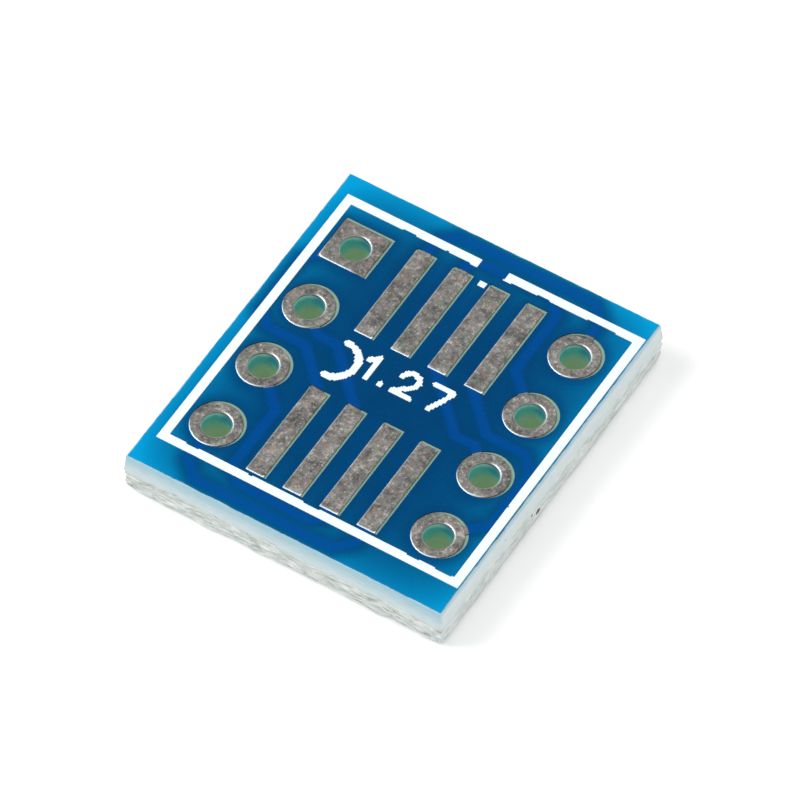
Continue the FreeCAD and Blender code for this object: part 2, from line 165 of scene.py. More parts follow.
class Wire:
    """A socket of a finish. Sums and products of wires and numbers add their own Math nodes."""

    def __init__(self, finish, socket):
        self.finish, self.socket = finish, socket

    def __add__(self, other):
        return self.finish.sum_up("ADD", self, other)

    def __radd__(self, other):
        return self.finish.sum_up("ADD", other, self)

    def __sub__(self, other):
        return self.finish.sum_up("SUBTRACT", self, other)

    def __rsub__(self, other):
        return self.finish.sum_up("SUBTRACT", other, self)

    def __mul__(self, other):
        return self.finish.sum_up("MULTIPLY", self, other)

    def __rmul__(self, other):
        return self.finish.sum_up("MULTIPLY", other, self)

    def __truediv__(self, other):
        return self.finish.sum_up("DIVIDE", self, other)


def open_socket(sockets, key):
    """A node's socket by its place or by its name."""
    if isinstance(key, int):
        return sockets[key]
    return next(socket for socket in sockets if socket.enabled and socket.name == key)


class Finish:
    """A node tree, with the ways of adding to it."""

    def __init__(self, tree):
        self.tree = tree
        tree.nodes.clear()

    def node(self, kind, settings, sockets, output=0):
        """Add a node: its settings first, then the numbers or wires of its sockets."""
        made = self.tree.nodes.new(kind)
        for name, setting in settings.items():
            if name == "stops":
                stops = made.color_ramp.elements
                while len(stops) < len(setting):
                    stops.new(0.5)
                for stop, (place, colour) in zip(stops, setting):
                    stop.position, stop.color = place, colour
            else:
                setattr(made, name, setting)
        for key, value in sockets.items():
            socket = open_socket(made.inputs, key)
            if isinstance(value, Wire):
                self.tree.links.new(value.socket, socket)
            else:
                socket.default_value = value
        return Wire(self, open_socket(made.outputs, output)) if made.outputs else None

    def sum_up(self, operation, first, second=0.0):
        """A Math node over one or two numbers or wires."""
        return self.node("ShaderNodeMath", {"operation": operation}, {0: first, 1: second})

    def step(self, value, start, end):
        """0 up to start and 1 from end, with a smooth rise between them."""
        settings = {"interpolation_type": "SMOOTHSTEP"}
        sockets = {"Value": value, "From Min": start, "From Max": end}
        return self.node("ShaderNodeMapRange", settings, sockets, "Result")

    def mix(self, share, first, second):
        """Two colours mixed."""
        sockets = {"Factor": share, "A": first, "B": second}
        return self.node("ShaderNodeMix", {"data_type": "RGBA"}, sockets, "Result")

    def place(self):
        """The point in millimetres from the board's middle."""
        point = self.node("ShaderNodeTexCoord", {}, {}, "Object")
        sockets = {"Vector": point, "Scale": 1 / MILLIMETRE}
        return self.node("ShaderNodeVectorMath", {"operation": "SCALE"}, sockets, "Vector")

    def stretched(self, point, across, along, up):
        """A point with its three directions scaled, for a grain that runs one way."""
        sockets = {0: point, 1: (across, along, up)}
        return self.node("ShaderNodeVectorMath", {"operation": "MULTIPLY"}, sockets, "Vector")

    def parts(self, point):
        """The three coordinates of a point."""
        split = self.node("ShaderNodeSeparateXYZ", {}, {"Vector": point}, "X")
        return split, Wire(self, split.socket.node.outputs["Y"]), Wire(self, split.socket.node.outputs["Z"])

    def cloud(self, point, per_millimetre, detail=3.0, roughness=0.55):
        """Soft noise around 0.5, with so many grains to the millimetre."""
        sockets = {"Vector": point, "Scale": per_millimetre, "Detail": detail, "Roughness": roughness}
        return self.node("ShaderNodeTexNoise", {}, sockets, "Fac")

    def away_from(self, point, spot):
        """How far a point lies from a spot."""
        return self.node("ShaderNodeVectorMath", {"operation": "DISTANCE"}, {0: point, 1: spot}, "Value")

    def attribute(self, name):
        """A number that the form keeps at its corners."""
        return self.node("ShaderNodeAttribute", {"attribute_name": name}, {}, "Fac")

    def bump(self, height, depth):
        """The surface's normal over a height of 0 to 1, which is so many millimetres deep."""
        sockets = {"Height": height, "Strength": 1.0, "Distance": depth * MILLIMETRE}
        return self.node("ShaderNodeBump", {}, sockets, "Normal")


def colour(red, green, blue):
    """A colour given as a screen shows it, from 0 to 255, in the light that the nodes work in."""
    parts = [share / 255 for share in (red, green, blue)]
    return tuple(p / 12.92 if p <= 0.04045 else ((p + 0.055) / 1.055) ** 2.4 for p in parts) + (1.0,)


def painted(name, paint):
    """A material whose shader sockets come from a function of its finish."""
    material = bpy.data.materials.new(name)
    material.use_nodes = True
    finish = Finish(material.node_tree)
    shader = finish.node("ShaderNodeBsdfPrincipled", {}, paint(finish), "BSDF")
    finish.node("ShaderNodeOutputMaterial", {}, {"Surface": shader})
    return material


def mask_paint(finish):
    """Blue solder mask, with a painted glow: lighter near the board's edges for the light that comes through
    the laminate under it, and painted shade that dims this glow near copper.
    """
    point = finish.place()
    across, along, _ = finish.parts(point)
    fade = 0.85
    # Painted glow from the four edges, dimmed by painted shade near copper.
    glow = 0.0
    for share, distance in (
        (0.82, across + HALF_WIDTH),
        (0.5, HALF_WIDTH - across),
        (0.52, along + HALF_LENGTH),
        (0.72, HALF_LENGTH - along),
    ):
        glow = glow + share * finish.sum_up("EXPONENT", distance / -fade)
    copper = finish.attribute("over_copper")
    shade = finish.attribute("near_copper")
    glow = finish.sum_up("MINIMUM", glow * (1 - 0.8 * shade), 1.0)
    blotches = finish.cloud(point, 0.9, 2.0)
    grain = finish.cloud(point, 9.0, 4.0)
    bare = finish.mix(blotches, colour(0, 58, 101), colour(0, 69, 122))
    bare = finish.mix(glow, bare, colour(2, 158, 216))
    over = finish.mix(finish.cloud(point, 1.4), colour(0, 66, 138), colour(0, 76, 147))
    over = finish.mix(glow, over, colour(2, 130, 200))
    body = finish.mix(copper, bare, over)
    speck = finish.step(grain, 0.62, 0.8) * 0.12
    body = finish.mix(speck, body, colour(60, 140, 190))
    height = grain * 0.4 + finish.cloud(point, 2.2) * 0.6
    return {
        "Base Color": body,
        "Roughness": 0.22 + grain * 0.12,
        "Specular IOR Level": 0.1,
        "Specular Tint": colour(40, 170, 255),
        "Normal": finish.bump(height, 0.006),
    }


def tin_paint(finish):
    """Tin levelled with hot air: dull mottled grey, with a painted highlight in a bright colour along the
    pads' front ends, the lands' front-left edges and the far rim of each hole's mouth.

    A hole's lining is painted with the light that comes through the laminate round it: teal near its top,
    lighter at the mouth and green below, with painted shade on its back-right side just under the mouth, and
    it glows a little though it is no lamp.
    """
    point = finish.place()
    bead = finish.attribute("bead")
    lining = finish.attribute("lining")
    shaded = finish.attribute("shaded")
    patches = finish.cloud(point, 2.2, 5.0, 0.62)
    grain = finish.cloud(point, 8.0, 4.0, 0.65)
    fine = finish.cloud(finish.stretched(point, 1.0, 1.3, 1.0), 17.0, 3.0, 0.6)
    tone = patches * 0.45 + grain * 0.35 + fine * 0.2
    grey = finish.node(
        "ShaderNodeValToRGB",
        {"stops": (
            (0.40, colour(72, 71, 70)),
            (0.46, colour(97, 95, 93)),
            (0.50, colour(111, 108, 105)),
            (0.54, colour(125, 121, 117)),
            (0.62, colour(162, 157, 152)),
        )},
        {"Fac": tone},
        "Color",
    )
    green = finish.step(finish.cloud(point, 3.1, 2.0), 0.52, 0.7)
    grey = finish.mix(green * 0.4, grey, colour(112, 132, 112))
    pink = finish.step(finish.cloud(point, 2.4, 3.0), 0.56, 0.7)
    grey = finish.mix(pink * 0.4, grey, colour(146, 122, 114))
    flecks = finish.step(fine * 0.55 + grain * 0.45, 0.56, 0.62)
    grey = finish.mix(flecks * 0.4, grey, colour(196, 192, 190))
    # Painted highlight: a bright colour where the lamp glints on the tin's edges.
    grey = finish.mix(bead * 0.9, grey, colour(226, 240, 244))
    _, _, height = finish.parts(point)
    uneven = finish.cloud(point, 2.4, 3.0) * 0.3
    # Painted light: the lining's colour and glow stand in for light through the laminate, with painted shade
    # on its back-right side below the mouth.
    painted_light_mottle = finish.cloud(point, 3.5, 3.0)
    depth = finish.step(height + uneven, 1.45, 0.85)
    teal = finish.mix(painted_light_mottle, colour(38, 112, 108), colour(58, 132, 118))
    wall = finish.mix(depth, teal, finish.mix(painted_light_mottle, colour(96, 126, 92), colour(114, 142, 108)))
    wall = finish.mix(finish.step(height + uneven, 1.5, 1.62) * 0.7, wall, colour(112, 150, 138))
    wall = finish.mix(shaded * finish.step(height + uneven, 1.2, 1.5) * 0.8, wall, colour(6, 88, 110))
    body = finish.mix(lining, grey, wall)
    relief = grain * 0.5 + patches * 0.3 + fine * 0.2
    return {
        "Base Color": body,
        "Metallic": 0.8 - 0.75 * lining,
        "Roughness": 0.38 + 0.2 * patches - 0.12 * bead,
        "Normal": finish.bump(relief, 0.03),
        "Emission Color": finish.mix(lining, (0.0, 0.0, 0.0, 1.0), wall),
        "Emission Strength": 0.64,
    }


def copper_paint(finish):
    """The etched copper, tinned where it leaves the mask."""
    point = finish.place()
    grain = finish.cloud(point, 14.0, 3.0)
    tinned = finish.step(finish.cloud(point, 3.0), 0.35, 0.6)
    return {
        "Base Color": finish.mix(tinned, colour(112, 108, 98), colour(132, 130, 126)),
        "Metallic": 0.9,
        "Roughness": 0.35 + 0.2 * grain,
        "Normal": finish.bump(grain, 0.008),
    }


def laminate_paint(finish):
    """Glass cloth in epoxy: pale where it is scored, with white and grey fibres on the snapped web and
    painted shade where the web is sunk.

    The ends' scored faces are bluish, and so is the rim under the mask.
    """
    point = finish.place()
    across, along, height = finish.parts(point)
    torn = finish.attribute("torn")
    sunk = finish.attribute("sunk")
    weave = finish.cloud(finish.stretched(point, 1.2, 1.2, 5.0), 2.0, 4.0, 0.6)
    fibres = finish.cloud(finish.stretched(point, 1.0, 1.0, 5.0), 4.0, 5.0, 0.65)
    threads = finish.cloud(finish.stretched(point, 1.0, 1.0, 9.0), 1.6, 4.0, 0.6)
    scored = finish.mix(weave, colour(208, 226, 229), colour(242, 247, 246))
    ends = finish.step(finish.sum_up("ABSOLUTE", along), HALF_LENGTH - 0.03, HALF_LENGTH)
    ends = ends * (0.3 + 0.6 * finish.step(height, LAMINATE_TOP - 0.6, LAMINATE_TOP - 0.1))
    scored = finish.mix(ends, scored, finish.mix(weave, colour(152, 194, 206), colour(190, 220, 226)))
    near_top = finish.step(height, LAMINATE_TOP - 0.22, LAMINATE_TOP)
    scored = finish.mix(near_top * 0.75, scored, colour(160, 208, 226))
    broken = finish.node(
        "ShaderNodeValToRGB",
        {"stops": (
            (0.38, colour(166, 177, 168)),
            (0.45, colour(206, 215, 210)),
            (0.52, colour(230, 238, 234)),
            (0.57, colour(255, 255, 255)),
        )},
        {"Fac": fibres * 0.4 + threads * 0.6},
        "Color",
    )
    # Painted shade: greyer where the snapped web is sunk inward.
    broken = finish.mix(sunk * 0.22, broken, colour(170, 184, 172))
    side = finish.mix(torn, scored, broken)
    top = finish.mix(finish.cloud(point, 5.0), colour(128, 172, 162), colour(156, 180, 152))
    facing = finish.step(height, LAMINATE_TOP - 0.012, LAMINATE_TOP - 0.002)
    inside = finish.step(finish.sum_up("ABSOLUTE", across), HALF_WIDTH - 0.03, HALF_WIDTH - 0.09)
    inside = inside * finish.step(finish.sum_up("ABSOLUTE", along), HALF_LENGTH - 0.03, HALF_LENGTH - 0.09)
    body = finish.mix(facing * inside, side, top)
    olive = finish.step(finish.cloud(finish.stretched(point, 1.0, 1.0, 2.5), 2.2, 3.0), 0.64, 0.74)
    body = finish.mix(olive * torn * 0.6, body, colour(136, 140, 108))
    smudges = finish.cloud(point, 14.0, 3.0) * 0.07
    for spot, size in SIDE_SPECKS:
        near = finish.away_from(point, spot) + smudges
        body = finish.mix(finish.step(near, size + 0.045, size) * 0.9, body, colour(44, 40, 38))
    relief = fibres * torn + weave * 0.25
    return {
        "Base Color": body,
        "Roughness": 0.42 + 0.25 * torn,
        "Specular IOR Level": 0.35,
        "Normal": finish.bump(relief, 0.035),
    }


def ink_paint(finish):
    """White legend ink, a little thin in places."""
    point = finish.place()
    grain = finish.cloud(point, 12.0, 3.0)
    thin = finish.step(finish.cloud(point, 5.0, 4.0), 0.66, 0.8)
    body = finish.mix(thin * 0.3, colour(244, 252, 252), colour(196, 226, 236))
    return {
        "Base Color": finish.mix(grain * 0.15, body, colour(214, 240, 248)),
        "Roughness": 0.55 + 0.15 * grain,
        "Normal": finish.bump(grain, 0.006),
    }


# Forms


def piece(name, form, material, slot, *nodes):
    """Turn a closed form in millimetres into a piece of the board that stands for its CAD nodes."""
    if form.calc_volume(signed=True) < 0:
        bmesh.ops.reverse_faces(form, faces=form.faces)
    bmesh.ops.scale(form, vec=Vector((MILLIMETRE,) * 3), verts=form.verts)
    mesh = bpy.data.meshes.new(name)
    form.to_mesh(mesh)
    form.free()
    mesh.shade_smooth()
    mesh.set_sharp_from_angle(angle=math.radians(42))
    mesh.materials.append(material)
    made = bpy.data.objects.new(name, mesh)
    bpy.context.scene.collection.objects.link(made)
    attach(made, "root")
    if nodes:
        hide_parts(*nodes)


def half_turn(net):
    """1 for nets 1 to 4, and -1 for those turned half a turn about the middle."""
    return 1 if net <= 4 else -1


def turned(net, middle, x, y):
    """A point given from a layer's middle, turned with its net."""
    return middle + half_turn(net) * Vector((x, y, 0))


def pin_spot(net, middle):
    """Where a net's pin goes through, in a layer with this middle."""
    return turned(net, middle, -ROW, (1.5 - (net - 1) % 4) * PITCH)


def pad_spot(net, middle):
    """The middle of a net's top pad."""
    return turned(net, middle, ((net - 1) % 4 - 1.5) * PAD_PITCH, -PAD_ROW)


def fine_spot(net, middle):
    """The middle of a net's underside pad."""
    return turned(net, middle, ((net - 1) % 4 - 1.5) * FINE_PITCH, FINE_ROW)


def rise(value, start, end):
    """0 at start and 1 at end, smooth between them."""
    share = min(1.0, max(0.0, (value - start) / (end - start)))
    return share * share * (3 - 2 * share)


def off_segment(x, y, start, end):
    """How far a point lies from a straight run."""
    run_x, run_y = end[0] - start[0], end[1] - start[1]
    along = ((x - start[0]) * run_x + (y - start[1]) * run_y) / (run_x * run_x + run_y * run_y)
    along = min(1.0, max(0.0, along))
    return math.hypot(x - start[0] - along * run_x, y - start[1] - along * run_y)


def off_rectangle(x, y, middle, width, length):
    """How far a point lies outside a rectangle, or below 0 inside it."""
    over_x, over_y = abs(x - middle[0]) - width / 2, abs(y - middle[1]) - length / 2
    if over_x > 0 and over_y > 0:
        return math.hypot(over_x, over_y)
    return max(over_x, over_y)


def level_grid(form, across, along, half_size, middle):
    """A level sheet of faces round a point, so many across and along."""
    bmesh.ops.create_grid(form, x_segments=across, y_segments=along, size=1.0)
    bmesh.ops.scale(form, vec=Vector((*half_size, 1)), verts=form.verts)
    bmesh.ops.translate(form, vec=Vector(middle), verts=form.verts)


def border_of(form):
    """The edges round a sheet."""
    return [edge for edge in form.edges if edge.is_boundary]


def wall_down(form, edges, height):
    """Extrude edges down to a height. Gives the new vertices and the new edges that join them."""
    extruded = bmesh.ops.extrude_edge_only(form, edges=edges)["geom"]
    fresh = [item for item in extruded if isinstance(item, bmesh.types.BMVert)]
    for vertex in fresh:
        vertex.co.z = height
    loop = [item for item in extruded if isinstance(item, bmesh.types.BMEdge)
            and item.verts[0] in fresh and item.verts[1] in fresh]
    return fresh, loop


def ring(form, middle, height):
    """A drilled hole's level loop of edges."""
    place = Matrix.Translation(Vector((middle[X], middle[Y], height)))
    made = bmesh.ops.create_circle(form, cap_ends=False, segments=40, radius=DRILL_RADIUS, matrix=place)
    return list({edge for vertex in made["verts"] for edge in vertex.link_edges})


def wall_levels():
    """The wall's heights from the top down, each with how far the wall stands out of the top outline."""
    for step in range(1, 13):
        level = LAMINATE_TOP - TOP_SCORE * step / 12
        yield level, WEB_REACH * (LAMINATE_TOP - level) / TOP_SCORE
    for step in range(1, 11):
        yield WEB_TOP - WEB * step / 10, WEB_REACH
    for step in range(1, 12):
        level = WEB_BOTTOM - BOTTOM_SCORE * step / 11
        yield level, WEB_REACH - math.tan(UNDERSIDE_LEAN) * (WEB_BOTTOM - level)


def snap_web(form):
    """Break the laminate's wall below the top score, and note where it is torn and how far it is sunk."""
    torn = form.verts.layers.float["torn"]
    sunk = form.verts.layers.float["sunk"]
    for vertex in form.verts:
        point = vertex.co
        if abs(point.x) < HALF_WIDTH - 0.3 and abs(point.y) < HALF_LENGTH - 0.3:
            continue
        on_x = HALF_WIDTH - abs(point.x) < HALF_LENGTH - abs(point.y)
        rough = 0.35 if on_x else 1.0
        depth = LAMINATE_TOP - point.z
        ragged = 0.1 * noise.noise(Vector((point.x * 1.3, point.y * 1.3, 4.0)))
        ragged += 0.06 * noise.noise(Vector((point.x * 4.5, point.y * 4.5, 6.0)))
        broken = rise(depth, 0.64 + ragged, 0.76 + ragged)
        streaks = noise.fractal(Vector((point.x * 1.6, point.y * 1.6, point.z * 7.5)), 0.8, 2.1, 4)
        lumps = noise.noise(Vector((point.x * 1.1 + 9, point.y * 1.1, point.z * 2.4)))
        chip = max(0.0, noise.noise(Vector((point.x * 2.6, point.y * 2.6 + 5, point.z * 4.0))) - 0.2)
        inward = broken * rough * max(0.0, 0.035 + 0.04 * streaks + 0.03 * lumps + 0.14 * chip)
        vertex[sunk] = min(1.0, inward / 0.13)
        inward += 0.004 + 0.004 * noise.noise(Vector((point.x * 4, point.y * 4, point.z * 9)))
        vertex[torn] = broken * (0.55 + 0.45 * rough)
        if abs(point.x) > HALF_WIDTH - 0.12:
            vertex.co.x -= math.copysign(inward, point.x)
        if abs(point.y) > HALF_LENGTH - 0.12:
            vertex.co.y -= math.copysign(inward, point.y)
        if point.z < LAMINATE_BOTTOM + 0.02:
            vertex.co.z += broken * rough * max(0.0, 0.015 + 0.04 * lumps + 0.02 * streaks)


def laminate_form():
    """The laminate: scored walls, a web snapped by hand, and eight drilled holes."""
    form = bmesh.new()
    form.verts.layers.float.new("torn")
    form.verts.layers.float.new("sunk")
    level_grid(form, 1, 1, (HALF_WIDTH, HALF_LENGTH), (0, 0, LAMINATE_TOP))
    bmesh.ops.delete(form, geom=list(form.faces), context="FACES_ONLY")
    bmesh.ops.subdivide_edges(form, edges=list(form.edges), cuts=210)
    top_loop = list(form.edges)
    loop = top_loop
    last_reach = 0.0
    for level, reach in wall_levels():
        fresh, loop = wall_down(form, loop, level)
        for vertex in fresh:
            if abs(vertex.co.x) > HALF_WIDTH + last_reach - 0.001:
                vertex.co.x = math.copysign(HALF_WIDTH + reach, vertex.co.x)
            if abs(vertex.co.y) > HALF_LENGTH + last_reach - 0.001:
                vertex.co.y = math.copysign(HALF_LENGTH + reach, vertex.co.y)
        last_reach = reach
    mouths = [ring(form, pin_spot(net, HOLES), LAMINATE_TOP) for net in NETS]
    feet = [ring(form, pin_spot(net, HOLES), LAMINATE_BOTTOM) for net in NETS]
    for outline, rings in ((top_loop, mouths), (loop, feet)):
        edges = outline + [edge for hole in rings for edge in hole]
        bmesh.ops.triangle_fill(
            form, use_beauty=True, use_dissolve=False, edges=edges, normal=Vector((0, 0, 1)),
        )
    for mouth, foot in zip(mouths, feet):
        bmesh.ops.bridge_loops(form, edges=mouth + foot)
    snap_web(form)
    bmesh.ops.recalc_face_normals(form, faces=form.faces)
    return form


def film_box(setback, low, high):
    """A closed slab set back from the laminate's outline, whose upper face is a fine grid."""
    form = bmesh.new()
    level_grid(form, 160, 182, (HALF_WIDTH - setback, HALF_LENGTH - setback), (0, 0, high))
    wall_down(form, border_of(form), low)
    bmesh.ops.edgeloop_fill(form, edges=border_of(form))
    bmesh.ops.recalc_face_normals(form, faces=form.faces)
    return form


def loose_object(name, form):
    """A form as a passing object, for a Boolean."""
    mesh = bpy.data.meshes.new(name)
    form.to_mesh(mesh)
    form.free()
    made = bpy.data.objects.new(name, mesh)
    bpy.context.scene.collection.objects.link(made)
    return made


def opened(film, openings):
    """A film with the openings cut out of it."""
    film_object = loose_object("film", film)
    cutter = loose_object("openings", openings)
    modifier = film_object.modifiers.new("openings", "BOOLEAN")
    modifier.operation = "DIFFERENCE"
    modifier.solver = "EXACT"
    modifier.object = cutter
    bpy.context.view_layer.update()
    graph = bpy.context.evaluated_depsgraph_get()
    mesh = bpy.data.meshes.new_from_object(film_object.evaluated_get(graph))
    form = bmesh.new()
    form.from_mesh(mesh)
    for used in (film_object, cutter):
        spent = used.data
        bpy.data.objects.remove(used)
        bpy.data.meshes.remove(spent)
    bpy.data.meshes.remove(mesh)
    return form


OPENING_HEIGHT = 8.0


def opening_block(form, middle, width, length):
    """A block that cuts a square opening, with the mask's gap round a pad or land."""
    size = Matrix.Diagonal((width + 2 * MASK_GAP, length + 2 * MASK_GAP, OPENING_HEIGHT, 1.0))
    place = Matrix.Translation(Vector((middle[X], middle[Y], 0)))
    bmesh.ops.create_cube(form, size=1.0, matrix=place @ size)


def mask_openings(spot, width, length):
    """What is cut out of one face's mask: an opening over each pad and each land."""
    form = bmesh.new()
    reach = LAND_RADIUS + MASK_GAP
    for net in NETS:
        opening_block(form, spot(net, MASK), width, length)
        land = pin_spot(net, MASK)
        if net == 1:
            opening_block(form, land, 2 * LAND_RADIUS, 2 * LAND_RADIUS)
        else:
            bmesh.ops.create_cone(
                form, cap_ends=True, segments=56, radius1=reach, radius2=reach, depth=OPENING_HEIGHT,
                matrix=Matrix.Translation(land),
            )
    return form


def off_pads_and_lands(x, y, spot, width, length):
    """How far a point lies outside one face's pads and lands."""
    away = []
    for net in NETS:
        land = pin_spot(net, COPPER)
        away.append(off_rectangle(x, y, spot(net, COPPER), width, length))
        if net == 1:
            away.append(off_rectangle(x, y, land, 2 * LAND_RADIUS, 2 * LAND_RADIUS))
        else:
            away.append(math.hypot(x - land.x, y - land.y) - LAND_RADIUS)
    return min(away)


def mask_form(traces, spot, width, length, top):
    """One face's mask, risen over the copper, with its openings and a border cut by the score."""
    high = LAMINATE_TOP + MASK_FILM
    setback = TOP_SETBACK if top else BOTTOM_SETBACK - UNDERSIDE_REACH
    form = opened(film_box(setback, LAMINATE_TOP, high), mask_openings(spot, width, length))
    half_line = TOP_HALF_LINE if top else BOTTOM_HALF_LINE
    runs = []
    for net in NETS:
        bends = [turned(net, COPPER, *bend) for bend in traces[(net - 1) % 4]]
        runs += list(zip(bends, bends[1:]))
    over = form.verts.layers.float.new("over_copper")
    near = form.verts.layers.float.new("near_copper")
    half_size = (HALF_WIDTH - setback, HALF_LENGTH - setback)
    for vertex in form.verts:
        x, y = vertex.co.x, vertex.co.y
        away = min(off_segment(x, y, *run) for run in runs) - half_line
        away = min(away, off_pads_and_lands(x, y, spot, width, length))
        vertex[over] = 1 - rise(away, -0.05, 0.06)
        vertex[near] = 1 - rise(away, -0.05, 0.5)
        if vertex.co.z > high - 0.001:
            swell = 0.0022 * noise.noise(Vector((x * 0.9, y * 0.9, 1.0)))
            vertex.co.z += 0.009 * (1 - rise(away, -0.06, 0.08)) + swell
        if off_rectangle(x, y, (0, 0), 2 * half_size[X], 2 * half_size[Y]) > -0.002:
            nick = 0.016 + 0.016 * noise.noise(Vector((x * 7, y * 7, 2.0)))
            nick = max(0.0, nick + 0.02 * noise.noise(Vector((x * 1.6, y * 1.6, 7.0))))
            if abs(x) > half_size[X] - 0.002:
                vertex.co.x -= math.copysign(nick, x)
            if abs(y) > half_size[Y] - 0.002:
                vertex.co.y -= math.copysign(nick, y)
    if not top:
        for vertex in form.verts:
            vertex.co.z = LAMINATE_BOTTOM + LAMINATE_TOP - vertex.co.z
        bmesh.ops.reverse_faces(form, faces=form.faces)
    return form


def tin_block_form(middle, width, length, top):
    """The tin over one pad: a low pillow with soft edges that hides the copper's sides."""
    form = bmesh.new()
    across, along = max(6, round(width / 0.05)), round(length / 0.05)
    half_size = (width / 2 + 0.003, length / 2 + 0.003)
    level_grid(form, across, along, half_size, (middle[X], middle[Y], TIN_TOP))
    border = border_of(form)
    for drop in (0.022, 0.065):
        _, border = wall_down(form, border, TIN_TOP - drop)
    bmesh.ops.edgeloop_fill(form, edges=border)
    bead = form.verts.layers.float.new("bead")
    for vertex in form.verts:
        x, y = vertex.co.x, vertex.co.y
        off_x, off_y = x - middle[X], y - middle[Y]
        inside = -off_rectangle(x, y, middle, width + 0.006, length + 0.006)
        # Painted highlight along the pad's front end and, weaker, along its left edge, facing the lamp.
        at_front = rise(middle[Y] - length / 2 + 0.07, y - 0.02, y + 0.02)
        at_left = rise(middle[X] - width / 2 + 0.03, x - 0.01, x + 0.01)
        vertex[bead] = (1 - rise(inside, 0.0, 0.05)) * max(at_front, 0.25 * at_left)
        if vertex.co.z > TIN_TOP - 0.001:
            wave = noise.noise(Vector((x * 2.6, y * 2.6, 3.0)))
            pits = noise.fractal(Vector((x * 9.0, y * 9.0, 8.0)), 0.7, 2.0, 3)
            dome = 0.012 * (1 - rise(inside, 0.02, 0.16))
            vertex.co.z -= dome + 0.0035 + 0.0025 * wave + 0.002 * max(-1.0, min(1.0, pits))
            if inside < 0.01:
                if abs(abs(off_x) - width / 2) < 0.01:
                    vertex.co.x -= math.copysign(0.012, off_x)
                if abs(abs(off_y) - length / 2) < 0.01:
                    vertex.co.y -= math.copysign(0.012, off_y)
                vertex.co.z -= 0.004
        if inside < 0.02:
            vertex.co.x += 0.004 * noise.noise(Vector((x * 2.0, y * 2.0, 6.0)))
    if not top:
        for vertex in form.verts:
            vertex.co.z = TIN_TOP - vertex.co.z
    bmesh.ops.recalc_face_normals(form, faces=form.faces)
    return form


def land_profile():
    """Radius and height, from the board's middle, of the tin that lines a hole and covers its two lands."""
    reach, bore = LAND_RADIUS + 0.003, BORE_RADIUS - 0.006
    upper = [
        (reach, 0.735), (reach, 0.770), (reach - 0.006, 0.784), (reach - 0.02, 0.793), (reach - 0.05, 0.797),
        (0.70, 0.799), (0.65, 0.800), (0.60, 0.800), (0.555, 0.797), (0.52, 0.791), (0.493, 0.779),
        (0.473, 0.760), (bore + 0.004, 0.728), (bore, 0.68), (bore, 0.55), (bore, 0.35), (bore, 0.12),
    ]
    lower = [(radius, -height) for radius, height in reversed(upper)]
    return upper + lower + [(0.49, -0.735), (0.49, 0.735)]


def square_off(point, radius):
    """Draw a round land's point out to a square with slightly soft corners."""
    cosine, sine = abs(point.x) / radius, abs(point.y) / radius
    square = 1 / (cosine ** 16 + sine ** 16) ** (1 / 16)
    stretch = 1 + (square - 1) * rise(radius, 0.5, 0.78)
    point.x *= stretch
    point.y *= stretch


def land_form(net):
    """The tin of one land pair with the lining of its hole, spun round the hole and drawn to the outline."""
    form = bmesh.new()
    half = TIN_TOP / 2
    points = [form.verts.new((radius, 0, height + half)) for radius, height in land_profile()]
    edges = [form.edges.new((points[i], points[(i + 1) % len(points)])) for i in range(len(points))]
    steps = 112 if net == 1 else 72
    bmesh.ops.spin(
        form, geom=points + edges, cent=Vector((0, 0, 0)), axis=Vector((0, 0, 1)), dvec=Vector((0, 0, 0)),
        angle=2 * math.pi, steps=steps, use_merge=True, use_duplicate=False,
    )
    bmesh.ops.remove_doubles(form, verts=form.verts, dist=0.0001)
    hole = pin_spot(net, HOLES)
    land = pin_spot(net, COPPER)
    bead = form.verts.layers.float.new("bead")
    lining = form.verts.layers.float.new("lining")
    shaded = form.verts.layers.float.new("shaded")
    for vertex in form.verts:
        point = vertex.co
        radius = math.hypot(point.x, point.y)
        # Painted highlight on the outer edge that faces front left and on the mouth's far rim; painted shade
        # on the wall's back-right side.
        towards_front = (-0.35 * point.x - 0.94 * point.y) / radius
        towards_back = (0.8 * point.x + 0.6 * point.y) / radius
        share = rise(radius, 0.50, 0.62)
        vertex[lining] = 1 - rise(radius, BORE_RADIUS, 0.485)
        mouth = rise(radius, 0.462, 0.478) * (1 - rise(radius, 0.492, 0.53))
        outer_painted_highlight = rise(radius, 0.765, 0.795) * rise(towards_front, 0.45, 0.9)
        vertex[bead] = max(outer_painted_highlight, mouth * rise(towards_back, 0.3, 0.9))
        vertex[shaded] = rise(towards_back, 0.1, 0.8)
        if net == 1 and radius > 0.5:
            square_off(point, radius)
        wander = 0.008 * noise.noise(Vector((point.x * 2.5 + net * 3, point.y * 2.5, 5.0)))
        wander *= rise(radius, 0.6, 0.8)
        point.x *= 1 - abs(wander)
        point.y *= 1 - abs(wander)
        if radius > 0.49 and abs(abs(point.z - half) - half) < 0.02:
            mottle = noise.noise(Vector((point.x * 3.4 + net * 7, point.y * 3.4, 2.0)))
            point.z -= math.copysign(0.0022 + 0.0022 * mottle, point.z - half)
        point.x += hole.x + share * (land.x - hole.x)
        point.y += hole.y + share * (land.y - hole.y)
    bmesh.ops.recalc_face_normals(form, faces=form.faces)
    return form


